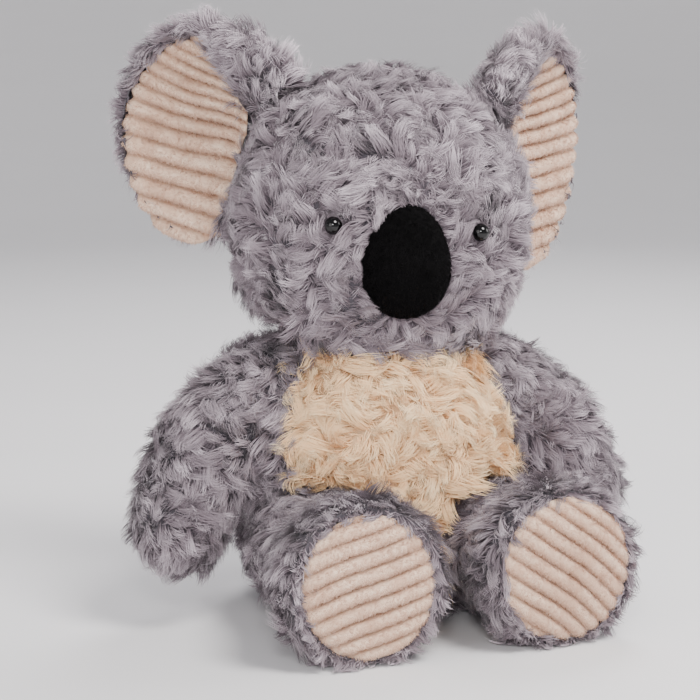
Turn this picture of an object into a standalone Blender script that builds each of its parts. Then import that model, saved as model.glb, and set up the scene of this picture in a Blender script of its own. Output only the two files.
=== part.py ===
# A seated plush koala: fur skins, ribbed ear linings and soles, glossy eyes, a velour nose
# and the stuffing inside. Metres, +Z up, the toy faces -Y, and its own left side is +X.
# The origin is the middle of the flat seat that it sits on.

import math

import bmesh
import bpy
from mathutils import Matrix, Vector

# Walls and clearances
skin_wall = 0.013            # the body's fur fabric with its pile
seam_gap = 0.0004            # between sewn pieces that touch
filling_gap = 0.0010         # between a skin and its filling
pocket_gap = 0.0011          # round a ribbed plate in its pocket
floor_gap = 0.0020           # under an ear's lining, which bends less than its ear
turning_gap = 0.0006         # round a piece that turns in its socket
cut_overrun = 0.004          # how far a cutter runs past what it cuts

# Body
body_height = 0.207
body_half_width = 0.096
belly_reach = 0.097
back_reach = 0.086

# Neck: a flat seam that leans forward, and the turn of the head in it
neck_back = 0.012
neck_cut = 0.020             # from the top of the body's form down to the seam
neck_height = body_height - neck_cut
neck_lean = math.radians(14.6)
head_turn = math.radians(-6)
head_tilt = math.radians(2.5)
neck_bore_radius = 0.015

# Belly panel, seen from the front
panel_bottom = 0.024
panel_drop = 0.017           # from the neck's seam down to the top of the panel
panel_height = neck_height - panel_drop - panel_bottom
panel_half_width = 0.075
panel_back = 0.020           # the panel ends this far ahead of the body's middle

# Head
head_drop = 0.029            # from the neck's seam down to the bottom of the head's form
head_base = neck_height - head_drop
head_height = 0.194
head_half_width = 0.101
face_reach = 0.081
head_back_reach = 0.082
head_wall = 0.0155

# Nose
nose_rise = 0.073            # above the bottom of the head's form, as the eyes and ears are
nose_height = head_base + nose_rise
nose_half_width = 0.0295
nose_half_height = 0.037
nose_bulge = 0.013
nose_sink = 0.012

# Eyes
eye_out = 0.049
eye_rise = 0.093
eye_height = head_base + eye_rise
eye_radius = 0.0062
eye_dome = 0.0050
eye_pocket_radius = 0.0085
eye_pocket_depth = 0.0070
eye_yaw = math.radians(27)
shank_radius = 0.0019
shank_end = 0.0030           # how far a shank stands past its washer
washer_radius = 0.0070
washer_thickness = 0.0016
washer_clearance = 0.0012
washer_seat = 0.0125         # from the face of the fur to the washer

# Ears
ear_root_out = 0.087
ear_root_back = 0.014
ear_root_rise = 0.1400
ear_root_height = head_base + ear_root_rise
ear_reach = 0.040            # from the root to the middle of the ear
ear_half_width = 0.066
ear_half_height_left = 0.0825
ear_half_height_right = 0.075
ear_face = math.radians(47)  # how far the ear faces outward from straight ahead
ear_roll = math.radians(2)   # how far its top leans inward
ear_rim_radius = 0.012
ear_rim_width = 0.0135
ear_inner_wall = 0.006       # from the head to the ear's lining
ear_bowl_depth = 0.020
ear_swing = math.radians(15)
lining_thickness = 0.003
lining_rib_height = 0.0028
lining_rib_pitch = 0.0102

# Arms
shoulder_out = 0.076
shoulder_front = -0.004
shoulder_drop = 0.0435       # from the neck's seam down to the middle of the shoulder
shoulder_height = neck_height - shoulder_drop
shoulder_radius = 0.036
elbow_out = 0.116
elbow_front = 0.010
elbow_drop = 0.0315          # below the shoulder, as the hand is
elbow_height = shoulder_height - elbow_drop
elbow_radius = 0.0375
hand_out = 0.136
hand_front = 0.016
hand_drop = 0.0775
hand_height = shoulder_height - hand_drop
hand_radius = 0.036
hand_round = math.radians(78)
arm_wall = 0.011
arm_bore_radius = 0.012

# Legs and feet
hip_out = 0.057
hip_front = 0.046
hip_height = 0.047
hip_radius = 0.043
knee_out = 0.060
knee_front = 0.090
knee_height = 0.047
knee_radius = 0.044
foot_out = 0.063
foot_front = 0.132
foot_height = 0.0480
foot_radius = 0.0575
foot_toe = 0.024             # from the widest ring of the foot to the face of the sole
foot_round = math.radians(25)
legs_turn = math.radians(3)  # both feet lie turned towards the toy's left
leg_splay = math.radians(15)
leg_wall = 0.012
leg_bore_radius = 0.013

# Soles
sole_half_width = 0.0395
sole_half_height = 0.0435
sole_thickness = 0.011
sole_rib_height = 0.0026
sole_rib_pitch = 0.0094
sole_roll_left = math.radians(25)
sole_roll_right = math.radians(12)

# Shares of height, half width, front reach and back reach, from the bottom up
body_shares = (
    (0.00, 0.70, 0.64, 0.68),
    (0.07, 0.87, 0.80, 0.86),
    (0.20, 0.98, 0.92, 0.98),
    (0.35, 1.00, 0.99, 1.00),
    (0.52, 0.95, 1.00, 0.97),
    (0.70, 0.80, 0.86, 0.82),
    (0.85, 0.64, 0.68, 0.64),
    (1.00, 0.45, 0.48, 0.46),
)
head_shares = (
    (0.00, 0.50, 0.58, 0.30),
    (0.08, 0.72, 0.80, 0.52),
    (0.17, 0.86, 0.93, 0.72),
    (0.29, 0.95, 1.00, 0.87),
    (0.47, 1.00, 1.00, 0.99),
    (0.65, 0.96, 0.92, 1.00),
    (0.80, 0.81, 0.74, 0.85),
    (0.91, 0.58, 0.52, 0.60),
    (0.98, 0.29, 0.26, 0.30),
    (1.00, 0.05, 0.05, 0.05),
)
# Shares of the panel's height and half width, from the bottom up
panel_shares = (
    (0.00, 0.30),
    (0.06, 0.62),
    (0.20, 0.88),
    (0.42, 1.00),
    (0.62, 0.96),
    (0.82, 0.84),
    (0.94, 0.78),
    (1.00, 0.73),
)
ring_squareness_share = 0.92
ear_narrow_share = 0.08      # how much narrower an ear is at its lowest point
ear_corner_share = 0.42      # how much further its upper inner corner reaches
ear_fold_share = 2.2         # how much wider the rim is at that corner
ear_back_share = 0.62        # how much of the bowl's depth shows on the back
ear_core_shares = (0.30, 0.68)
nose_taper_share = 0.16

# Facets
body_around, body_rows = 26, 11
head_around, head_rows = 26, 13
core_around, core_rows = 16, 8
limb_around, limb_rows = 16, 5
limb_core_around, limb_core_rows = 12, 4
cap_rows = 3
socket_around = 24
ear_around = 34
ear_rim_steps = 2            # on each side of the rim's widest ring
button_around = 14
panel_rows = 12
shape_readings = 200         # places at which a table of shares is searched
lining_columns = 4
sole_columns = 4

neck_point = Vector((0, neck_back, neck_height))
neck_axis = Vector((0, -math.sin(neck_lean), math.cos(neck_lean)))
upward = Vector((0, 0, 1))
backward = Vector((0, 1, 0))
tilt = Matrix.Rotation(head_tilt, 3, backward)
seam_axis = tilt @ neck_axis
sole_depth = sole_thickness + sole_rib_height + seam_gap
pivot_places = {}


def blended(shares, count):
    """Read a table of shares as a smooth curve, at count evenly spaced places."""
    last = len(shares) - 1
    rows = []
    for step in range(count):
        place = last * step / (count - 1)
        k = min(int(place), last - 1)
        t = place - k
        a, b, c, d = (shares[min(max(k + j, 0), last)] for j in (-1, 0, 1, 2))
        rows.append(tuple(
            0.5 * (2 * q + (r - p) * t + (2 * p - 5 * q + 4 * r - s) * t * t
                   + (3 * q - p - 3 * r + s) * t ** 3)
            for p, q, r, s in zip(a, b, c, d)))
    return rows


def turns(count):
    """Even turns round a circle."""
    return [math.tau * k / count for k in range(count)]


def rounded(value):
    """A circle's coordinate, squared off a little as stuffing squares a seam."""
    return math.copysign(abs(value) ** ring_squareness_share, value)


def circle(centre, across, other, radius, count):
    """Points round a circle in the plane of two directions."""
    return [centre + radius * (math.cos(t) * across + math.sin(t) * other)
            for t in turns(count)]


def swelling_rings(shares, rows, around, base, height, half_width, front, back):
    """Level rings of a stuffed form, with its own reach to the front and to the back."""
    rings = []
    for high, wide, ahead, behind in blended(shares, rows):
        ring = []
        for t in turns(around):
            reach = back * behind if t < math.pi else front * ahead
            ring.append(Vector((half_width * wide * rounded(math.cos(t)),
                                reach * rounded(math.sin(t)), base + height * high)))
        rings.append(ring)
    return rings


def limb_rings(line, radii, side, rows, around, toe, toe_angle):
    """Rings round a smooth line, with a half ball at its start and a blunter end."""
    stations = [(Vector(row[:3]), row[3])
                for row in blended([(*p, r) for p, r in zip(line, radii)], rows)]
    rings = []

    def add_ring(centre, along, radius):
        across = side.cross(along).normalized()
        rings.append(circle(centre, across, along.cross(across), radius, around))

    start, radius = stations[0]
    along = (stations[1][0] - start).normalized()
    for k in range(1, cap_rows + 1):
        turn = math.pi / 2 * k / (cap_rows + 1)
        add_ring(start - along * radius * math.cos(turn), along, radius * math.sin(turn))
    for k, (centre, radius) in enumerate(stations):
        ahead = stations[min(k + 1, rows - 1)][0] - stations[max(k - 1, 0)][0]
        add_ring(centre, ahead.normalized(), radius)
    end, radius = stations[-1]
    along = (end - stations[-2][0]).normalized()
    for k in range(1, cap_rows + 1):
        turn = toe_angle * k / cap_rows
        ahead = toe * math.sin(turn) / math.sin(toe_angle)
        add_ring(end + along * ahead, along, radius * math.cos(turn))
    return rings


def skinned(rings):
    """A closed mesh over rings of points, fanned shut at both ends."""
    bm = bmesh.new()
    rows = [[bm.verts.new(p) for p in ring] for ring in rings]
    count = len(rows[0])
    for low, high in zip(rows, rows[1:]):
        for k in range(count):
            bm.faces.new((low[k], low[(k + 1) % count], high[(k + 1) % count], high[k]))
    for row in (rows[0], rows[-1]):
        pole = bm.verts.new(sum((v.co for v in row), Vector()) / count)
        for k in range(count):
            bm.faces.new((row[k], row[(k + 1) % count], pole))
    bmesh.ops.recalc_face_normals(bm, faces=bm.faces)
    return bm


def grown(bm, distance):
    """Move the surface outward along its normals, or inward by a negative distance."""
    bm.normal_update()
    for v, normal in [(v, v.normal.copy()) for v in bm.verts]:
        v.co += normal * distance
    return bm


def cut_flat(bm, point, normal):
    """Take away what lies beyond a plane, and close the cut."""
    whole = list(bm.verts) + list(bm.edges) + list(bm.faces)
    bmesh.ops.bisect_plane(bm, geom=whole, plane_co=point, plane_no=normal, clear_outer=True)
    bmesh.ops.contextual_create(bm, geom=[e for e in bm.edges if e.is_boundary])
    bmesh.ops.recalc_face_normals(bm, faces=bm.faces)
    return bm


def swept(make, centre, axis, swings):
    """One convex body round all the places that a form reaches as it turns."""
    bm = bmesh.new()
    for swing in swings:
        form = make()
        turn = Matrix.Rotation(swing, 3, axis)
        for v in form.verts:
            bm.verts.new(centre + turn @ (v.co - centre))
        form.free()
    bmesh.ops.convex_hull(bm, input=bm.verts)
    bmesh.ops.delete(bm, geom=[v for v in bm.verts if not v.link_faces], context="VERTS")
    bmesh.ops.recalc_face_normals(bm, faces=bm.faces)
    return bm


def turned(profile, start, along, around):
    """A turned piece: the profile gives the distance along its axis and the radius there."""
    across = along.orthogonal().normalized()
    other = along.cross(across)
    return skinned([circle(start + along * far, across, other, radius, around)
                    for far, radius in profile])


def rod(start, end, radius, around):
    """A round bar between two points."""
    length = (end - start).length
    return turned(((0, radius), (length, radius)), start, (end - start) / length, around)


def material(name, colour, roughness):
    """A plain finish."""
    made = bpy.data.materials.new(name)
    made.use_nodes = True
    shader = made.node_tree.nodes["Principled BSDF"]
    shader.inputs["Base Color"].default_value = (*colour, 1)
    shader.inputs["Roughness"].default_value = roughness
    shader.inputs["Metallic"].default_value = 0
    made.diffuse_color = (*colour, 1)
    return made


def pivot(name, place, parent=None, turn=None):
    """An empty on a joint's axis, which carries what turns there."""
    made = bpy.data.objects.new(name, None)
    bpy.context.scene.collection.objects.link(made)
    made.empty_display_size = shoulder_radius
    pivot_places[name] = place
    if parent:
        made.parent = parent
        place = place - pivot_places[parent.name]
    made.location = place
    if turn:
        made.rotation_mode = "QUATERNION"
        made.rotation_quaternion = turn.to_quaternion()
    return made


def placed(name, bm, finish=None, parent=None):
    """A piece of the toy, or a cutter where it has no finish, on the pivot that carries it."""
    if parent:
        bmesh.ops.translate(bm, verts=bm.verts, vec=-pivot_places[parent.name])
    mesh = bpy.data.meshes.new(name)
    bm.to_mesh(mesh)
    bm.free()
    mesh.shade_smooth()
    made = bpy.data.objects.new(name, mesh)
    bpy.context.scene.collection.objects.link(made)
    made.parent = parent
    if finish:
        mesh.materials.append(finish)
    else:
        made.hide_render = True
        made.display_type = "WIRE"
    return made


def carve(piece, cutters, operation="DIFFERENCE"):
    """Cut a piece by others, or keep only what it shares with them."""
    for cutter in cutters:
        cut = piece.modifiers.new(cutter.name, "BOOLEAN")
        cut.operation = operation
        cut.object = cutter
        cut.solver = "EXACT"


def body_form(around, rows):
    """The pear of the body, flat where it sits."""
    return skinned(swelling_rings(body_shares, rows, around, 0, body_height,
                                  body_half_width, belly_reach, back_reach))


def head_form(around, rows):
    """The head, fuller in the cheeks than at the crown."""
    return skinned(swelling_rings(head_shares, rows, around, head_base, head_height,
                                  head_half_width, face_reach, head_back_reach))


def panel_block(margin):
    """A block with the belly panel's outline, as deep as the front of the body."""
    bm = bmesh.new()
    front = belly_reach + cut_overrun
    half = [Vector(((panel_half_width + margin) * wide, -front,
                    panel_bottom - margin + (panel_height + 2 * margin) * high))
            for high, wide in blended(panel_shares, panel_rows)]
    outline = half + [Vector((-p.x, p.y, p.z)) for p in reversed(half)]
    face = bm.faces.new([bm.verts.new(p) for p in outline])
    pushed = bmesh.ops.extrude_face_region(bm, geom=[face])["geom"]
    bmesh.ops.translate(bm, verts=[v for v in pushed if isinstance(v, bmesh.types.BMVert)],
                        vec=backward * (front - panel_back + margin))
    bmesh.ops.recalc_face_normals(bm, faces=bm.faces)
    return bm


def shoulder(side):
    return Vector((side * shoulder_out, -shoulder_front, shoulder_height))


def hip(side):
    return Vector((side * hip_out, -hip_front, hip_height))


def arm_form(side, around, rows):
    """An arm that hangs from the shoulder and bends out to the hand."""
    line = (shoulder(side), Vector((side * elbow_out, -elbow_front, elbow_height)),
            Vector((side * hand_out, -hand_front, hand_height)))
    return skinned(limb_rings(line, (shoulder_radius, elbow_radius, hand_radius), backward,
                              rows, around, hand_radius, hand_round))


def leg_form(side, around, rows):
    """A leg that lies forward from the hip to a big upright foot, flat where it rests."""
    line = (hip(side), Vector((side * knee_out, -knee_front, knee_height)),
            Vector((side * foot_out, -foot_front, foot_height)))
    return skinned(limb_rings(line, (hip_radius, knee_radius, foot_radius), upward,
                              rows, around, foot_toe, foot_round))


def ear_frame(side):
    """An ear's root, with its outward, upward and facing directions."""
    root = Vector((side * ear_root_out, ear_root_back, ear_root_height))
    level = Vector((side * math.cos(ear_face), math.sin(ear_face), 0))
    out = level * math.cos(ear_roll) + upward * math.sin(ear_roll)
    up = upward * math.cos(ear_roll) - level * math.sin(ear_roll)
    face = Vector((side * math.sin(ear_face), -math.cos(ear_face), 0))
    return root, out, up, face


def ear_edge(side, turn, margin, fold=0):
    """The outline of an ear less a margin, which a fold widens at the upper inner corner."""
    across, high = math.cos(turn), math.sin(turn)
    corner = 2 * max(0, high) * max(0, -across)
    wide = ear_half_width * (1 - ear_narrow_share * max(0, -high) + ear_corner_share * corner)
    tall = ear_half_height_left if side > 0 else ear_half_height_right
    margin *= 1 + fold * corner
    return (wide - margin) * across, (tall - margin) * high


def bowl(side, out, up):
    """How deep the hollow of an ear is at a place in its outline."""
    tall = ear_half_height_left if side > 0 else ear_half_height_right
    return ear_bowl_depth * max(0, 1 - (out / ear_half_width) ** 2 - (up / tall) ** 2)


def ear_form(side):
    """The fur back of an ear, curled round its rim and hollow in front."""
    root, out, up, face = ear_frame(side)
    middle = root + out * ear_reach
    floor = ear_rim_radius - lining_rib_height - lining_thickness - floor_gap
    pocket_margin = ear_rim_width - pocket_gap

    def ring(margin, share, height, fold=0):
        points = []
        for t in turns(ear_around):
            a, b = (share * reach for reach in ear_edge(side, t, margin, fold))
            points.append(middle + out * a + up * b + face * height(a, b))
        return points

    rings = [ring(ear_rim_width, share,
                  lambda a, b: -ear_rim_radius - ear_back_share * bowl(side, a, b))
             for share in ear_core_shares]
    for k in range(-ear_rim_steps, ear_rim_steps + 1):
        swing = math.pi / 2 * k / ear_rim_steps
        rings.append(ring(ear_rim_radius * (1 - math.cos(swing)), 1,
                          lambda a, b: ear_rim_radius * math.sin(swing)))
    rings.append(ring(pocket_margin, 1, lambda a, b: ear_rim_radius - bowl(side, a, b) / 2,
                      ear_fold_share))
    rings += [ring(pocket_margin, share, lambda a, b: floor - bowl(side, a, b), ear_fold_share)
              for share in (1,) + ear_core_shares[::-1]]
    return skinned(rings)


def ribbed_plate(edge, lowest, highest, pitch, rib, thickness, columns, dish):
    """A plate of ribbed fabric in an outline. The ribs run across it, two rows of points each."""
    bm = bmesh.new()
    front, back = [], []
    for row in range(math.ceil(2 * lowest / pitch), math.floor(2 * highest / pitch) + 1):
        up = row * pitch / 2
        left, right = edge(up)
        lift = rib / 2 * (-1) ** row

        def spread(rise):
            places = [left + (right - left) * k / columns for k in range(columns + 1)]
            return [bm.verts.new((a, up, dish(a, up) + rise)) for a in places]

        front.append(spread(lift))
        back.append(spread(-rib / 2 - thickness))
    for low, high, under, over in zip(front, front[1:], back, back[1:]):
        for k in range(columns):
            bm.faces.new((low[k], low[k + 1], high[k + 1], high[k]))
            bm.faces.new((under[k + 1], under[k], over[k], over[k + 1]))
        bm.faces.new((low[0], high[0], over[0], under[0]))
        bm.faces.new((low[-1], under[-1], over[-1], high[-1]))
    for end in (0, -1):
        bm.faces.new(front[end] + back[end][::-1])
    return bm


def framed(bm, place, right, up, face):
    """Move a mesh from its own drawing plane to its place on the toy."""
    turn = Matrix((right, up, face)).transposed()
    for v in bm.verts:
        v.co = place + turn @ v.co
    bmesh.ops.recalc_face_normals(bm, faces=bm.faces)
    return bm


def ear_lining(side):
    """The ribbed lining in the hollow of an ear."""
    root, out, up, face = ear_frame(side)
    outline = [ear_edge(side, t, ear_rim_width + pocket_gap / 2, ear_fold_share)
               for t in turns(shape_readings)]
    heights = [b for a, b in outline]

    def edge(high):
        crossings = [a + (c - a) * (high - b) / (d - b)
                     for (a, b), (c, d) in zip(outline, outline[1:] + outline[:1])
                     if min(b, d) <= high < max(b, d)]
        return min(crossings), max(crossings)

    def dish(a, b):
        return ear_rim_radius - lining_rib_height / 2 - bowl(side, a, b)

    plate = ribbed_plate(edge, min(heights), max(heights), lining_rib_pitch,
                         lining_rib_height, lining_thickness, lining_columns, dish)
    return framed(plate, root + out * ear_reach, out, up, face)


def sole_frame(side):
    """The middle of a sole's face, with its sideways, upward and facing directions."""
    heading = Vector((side * (foot_out - knee_out), knee_front - foot_front,
                      foot_height - knee_height)).normalized()
    middle = Vector((side * foot_out, -foot_front, foot_height)) + heading * foot_toe
    roll = sole_roll_left if side > 0 else sole_roll_right
    right = heading.cross(upward).normalized()
    right = Matrix.Rotation(-side * roll, 3, heading) @ right
    return middle, right, right.cross(heading), heading


def sole_plate(side):
    """The ribbed sole in the end of a foot."""
    middle, right, up, face = sole_frame(side)

    def edge(high):
        wide = sole_half_width * math.sqrt(1 - (high / sole_half_height) ** 2)
        return -wide, wide

    plate = ribbed_plate(edge, -sole_half_height, sole_half_height, sole_rib_pitch,
                         sole_rib_height, sole_thickness, sole_columns,
                         lambda a, b: -sole_rib_height / 2)
    return framed(plate, middle, right, up, face)


def sole_pocket(side):
    """The room that a sole takes in its foot."""
    middle, right, up, face = sole_frame(side)
    wide, high = sole_half_width + pocket_gap, sole_half_height + pocket_gap
    return skinned([[middle + right * wide * math.cos(t) + up * high * math.sin(t) + face * far
                     for t in turns(ear_around)] for far in (-sole_depth, cut_overrun)])


def eye_axis(side):
    """Where an eye's axis meets the face, and its direction into the head."""
    high = (eye_height - head_base) / head_height
    row = min(blended(head_shares, shape_readings), key=lambda shares: abs(shares[0] - high))
    power = 2 / ring_squareness_share
    across = (eye_out / (head_half_width * row[1])) ** power
    ahead = face_reach * row[2] * (1 - across) ** (1 / power)
    inward = Vector((-side * math.sin(eye_yaw), math.cos(eye_yaw), 0))
    return Vector((side * eye_out, -ahead, eye_height)), inward


def eye_room(side):
    """The dent that an eye sits in, its hole through the skin and the washer's seat."""
    face, inward = eye_axis(side)
    hole = shank_radius + seam_gap
    seat = washer_radius + washer_clearance
    return turned(((-cut_overrun, eye_pocket_radius), (eye_pocket_depth, eye_pocket_radius),
                   (eye_pocket_depth, hole), (washer_seat, hole), (washer_seat, seat),
                   (head_wall + cut_overrun, seat)), face, inward, button_around)


def eye_bead(side):
    """A glossy dome on its shank."""
    face, inward = eye_axis(side)
    base = eye_pocket_depth - seam_gap
    dome = [math.pi / 2 * k / cap_rows for k in range(1, cap_rows + 1)]
    profile = [(base - eye_dome * math.cos(t), eye_radius * math.sin(t)) for t in dome]
    tip = washer_seat + washer_thickness + shank_end
    return turned(profile + [(base, shank_radius), (tip, shank_radius)],
                  face, inward, button_around)


def eye_washer(side):
    """The washer that locks an eye behind the fabric."""
    face, inward = eye_axis(side)
    across = inward.orthogonal().normalized()
    other = inward.cross(across)
    near = washer_seat + seam_gap
    far = near + washer_thickness
    hole = shank_radius + seam_gap
    bm = bmesh.new()
    rings = [[bm.verts.new(p) for p in circle(face + inward * depth, across, other, radius,
                                              button_around)]
             for depth, radius in ((near, hole), (near, washer_radius),
                                   (far, washer_radius), (far, hole))]
    for ring, after in zip(rings, rings[1:] + rings[:1]):
        for k in range(button_around):
            n = (k + 1) % button_around
            bm.faces.new((ring[k], ring[n], after[n], after[k]))
    bmesh.ops.recalc_face_normals(bm, faces=bm.faces)
    return bm


def nose_form():
    """The padded nose: an egg with its narrow end up, domed to the front."""
    rings = []
    steps = cap_rows + 2
    for k in range(steps):
        turn = math.pi / 2 * k / steps
        share = math.cos(turn)
        ahead = face_reach - nose_sink + (nose_sink + nose_bulge) * math.sin(turn)
        rings.append([
            Vector((nose_half_width * share * math.cos(t) * (1 - nose_taper_share * math.sin(t)),
                    -ahead, nose_height + nose_half_height * share * math.sin(t)))
            for t in turns(button_around)])
    return skinned(rings)


def build_torso(grey, cream, fibre, rooms):
    """The body's skin, its belly panel and its filling, cut by the limbs' rooms."""
    def outside():
        return cut_flat(body_form(body_around, body_rows),
                        neck_point - seam_axis * seam_gap / 2, seam_axis)

    def inside(depth):
        return cut_flat(grown(body_form(core_around, core_rows), -depth),
                        neck_point - seam_axis * depth, seam_axis)

    hollow = placed("body_hollow", inside(skin_wall))
    bore = placed("body_bore", rod(neck_point - seam_axis * 2 * skin_wall,
                                   neck_point + seam_axis * cut_overrun,
                                   neck_bore_radius, core_around))
    panel_room = placed("panel_room", panel_block(seam_gap))
    panel_shape = placed("panel_shape", panel_block(0))
    skin = placed("body_skin", outside(), grey)
    panel = placed("belly_panel", outside(), cream)
    filling = placed("body_filling", inside(skin_wall + filling_gap), fibre)
    carve(skin, [panel_room, hollow, bore] + rooms)
    carve(panel, [panel_shape], "INTERSECT")
    carve(panel, [hollow] + rooms)
    carve(filling, rooms)


def build_head(neck, grey, fibre):
    """The head's skin and its filling."""
    def outside():
        return cut_flat(head_form(head_around, head_rows),
                        neck_point + neck_axis * seam_gap / 2, -neck_axis)

    def inside(depth):
        return cut_flat(grown(head_form(core_around, core_rows), -depth),
                        neck_point + neck_axis * depth, -neck_axis)

    hollow = placed("head_hollow", inside(head_wall), parent=neck)
    bore = placed("head_bore", rod(neck_point - neck_axis * cut_overrun,
                                   neck_point + neck_axis * 2 * head_wall,
                                   neck_bore_radius, core_around), parent=neck)
    eye_rooms = [placed("eye_room_" + name, eye_room(side), parent=neck)
                 for name, side in (("left", 1), ("right", -1))]
    skin = placed("head_skin", outside(), grey, neck)
    filling = placed("head_filling", inside(head_wall + filling_gap), fibre, neck)
    carve(skin, [hollow, bore] + eye_rooms)
    carve(filling, eye_rooms)


def build_face(neck, velour, gloss, washer):
    """The nose, and the eyes with their washers."""
    nose = placed("nose", nose_form(), velour, neck)
    head_room = placed("head_room", grown(head_form(head_around, head_rows), seam_gap),
                       parent=neck)
    carve(nose, [head_room])
    for name, side in (("left", 1), ("right", -1)):
        placed("eye_" + name, eye_bead(side), gloss, neck)
        placed("eye_washer_" + name, eye_washer(side), washer, neck)


def build_ear(name, side, neck, grey, ribbed):
    """An ear on its root, cut where the head is in any place that the ear turns to."""
    root, out, up, face = ear_frame(side)
    hinge = pivot("ear_pivot_" + name, root, neck)

    swings = (-ear_swing, 0, ear_swing)

    def head_room(gap):
        return grown(head_form(head_around, head_rows), gap)

    back_rooms = [placed("ear_back_room_" + name,
                         swept(lambda: head_room(turning_gap), root, up, [swing]), parent=hinge)
                  for swing in swings]
    lining_room = placed("ear_lining_room_" + name,
                         swept(lambda: head_room(ear_inner_wall), root, up, swings),
                         parent=hinge)
    carve(placed("ear_back_" + name, ear_form(side), grey, hinge), back_rooms)
    carve(placed("ear_lining_" + name, ear_lining(side), ribbed, hinge), [lining_room])


def shoulder_socket(side):
    """A ball whose flat facets all clear the round of the shoulder."""
    flat_share = math.cos(math.pi / socket_around) ** 2
    radius = (shoulder_radius + seam_gap) / flat_share
    steps = socket_around // 2
    profile = [(-radius * math.cos(math.pi * k / steps), radius * math.sin(math.pi * k / steps))
               for k in range(1, steps)]
    return turned(profile, shoulder(side), backward, socket_around)


def build_arm(name, side, grey, fibre):
    """An arm on its shoulder, and the rooms that it takes in the body."""
    start = shoulder(side)
    inward = Vector((-side * (shoulder_radius + cut_overrun), 0, 0))

    def inside(depth):
        return grown(arm_form(side, limb_core_around, limb_core_rows), -depth)

    hinge = pivot("shoulder_pivot_" + name, start)
    skin = placed("arm_skin_" + name, arm_form(side, limb_around, limb_rows), grey, hinge)
    hollow = placed("arm_hollow_" + name, inside(arm_wall), parent=hinge)
    bore = placed("arm_bore_" + name, rod(start, start + inward, arm_bore_radius, core_around),
                  parent=hinge)
    placed("arm_filling_" + name, inside(arm_wall + filling_gap), fibre, hinge)
    carve(skin, [hollow, bore])
    return [placed("shoulder_socket_" + name, shoulder_socket(side), parent=hinge),
            placed("arm_room_" + name,
                   grown(arm_form(side, limb_around, limb_rows), turning_gap), parent=hinge)]


def build_leg(name, side, grey, fibre, ribbed):
    """A leg on its hip with the sole of its foot, and the room that it turns in."""
    start = hip(side)
    inward = backward * (hip_radius + cut_overrun)
    middle, right, up, face = sole_frame(side)

    def outside():
        return leg_form(side, limb_around, limb_rows)

    def inside(depth):
        return cut_flat(grown(leg_form(side, limb_core_around, limb_core_rows), -depth),
                        upward * depth, -upward)

    hinge = pivot("hip_pivot_" + name, start, turn=Matrix.Rotation(legs_turn, 3, upward))
    skin = placed("leg_skin_" + name, cut_flat(outside(), Vector(), -upward), grey, hinge)
    hollow = placed("leg_hollow_" + name, inside(leg_wall), parent=hinge)
    bore = placed("leg_bore_" + name, rod(start, start + inward, leg_bore_radius, core_around),
                  parent=hinge)
    pocket = placed("sole_pocket_" + name, sole_pocket(side), parent=hinge)
    placed("leg_filling_" + name,
           cut_flat(inside(leg_wall + filling_gap), middle - face * (sole_depth + filling_gap),
                    face), fibre, hinge)
    placed("sole_" + name, sole_plate(side), ribbed, hinge)
    carve(skin, [hollow, bore, pocket])
    swings = [side * leg_splay * share for share in (0, 0.5, 1)]
    return placed("leg_room_" + name,
                  swept(lambda: grown(outside(), turning_gap), start, upward, swings),
                  parent=hinge)


def main():
    for old in list(bpy.data.objects):
        bpy.data.objects.remove(old, do_unlink=True)
    grey = material("grey_fur", (0.40, 0.38, 0.43), 0.95)
    cream = material("cream_fur", (0.78, 0.60, 0.44), 0.95)
    ribbed = material("ribbed_velour", (0.78, 0.66, 0.58), 0.85)
    velour = material("black_velour", (0.010, 0.009, 0.010), 0.75)
    gloss = material("glossy_black", (0.008, 0.008, 0.010), 0.08)
    washer = material("white_plastic", (0.75, 0.75, 0.73), 0.5)
    fibre = material("white_fibre", (0.85, 0.85, 0.84), 0.9)

    neck = pivot("neck_pivot", neck_point,
                 turn=tilt @ Matrix.Rotation(head_turn, 3, neck_axis))
    sides = (("left", 1), ("right", -1))
    build_head(neck, grey, fibre)
    build_face(neck, velour, gloss, washer)
    for name, side in sides:
        build_ear(name, side, neck, grey, ribbed)
    limb_rooms = [build_leg(name, side, grey, fibre, ribbed) for name, side in sides]
    for name, side in sides:
        limb_rooms += build_arm(name, side, grey, fibre)
    build_torso(grey, cream, fibre, limb_rooms)


main()
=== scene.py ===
# A seated plush koala: curled fur over sewn and stuffed forms, ribbed velour in the ears
# and on the soles, bead eyes and a short-pile nose. Metres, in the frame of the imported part.

import math

import bpy
import numpy as np
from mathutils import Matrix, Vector, noise
from mathutils.bvhtree import BVHTree
from mathutils.kdtree import KDTree


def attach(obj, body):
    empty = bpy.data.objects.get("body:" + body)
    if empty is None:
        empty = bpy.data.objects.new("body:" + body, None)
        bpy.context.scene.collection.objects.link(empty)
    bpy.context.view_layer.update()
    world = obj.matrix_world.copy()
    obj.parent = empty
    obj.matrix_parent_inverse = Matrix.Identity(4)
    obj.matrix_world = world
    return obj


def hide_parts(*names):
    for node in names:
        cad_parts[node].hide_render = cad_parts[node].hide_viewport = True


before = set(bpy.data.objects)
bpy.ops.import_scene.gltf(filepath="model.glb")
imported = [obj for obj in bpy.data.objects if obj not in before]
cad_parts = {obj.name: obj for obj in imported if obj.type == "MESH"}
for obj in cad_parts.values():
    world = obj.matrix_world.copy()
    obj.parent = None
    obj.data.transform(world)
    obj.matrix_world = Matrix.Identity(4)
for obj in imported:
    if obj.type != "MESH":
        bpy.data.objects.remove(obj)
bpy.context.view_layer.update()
sides = ("left", "right")


def newObject(name, data):
    made = bpy.data.objects.new(name, data)
    bpy.context.scene.collection.objects.link(made)
    return made


def pointsOf(mesh):
    values = np.empty(len(mesh.vertices) * 3)
    mesh.vertices.foreach_get("co", values)
    return values.reshape(-1, 3)


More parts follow.
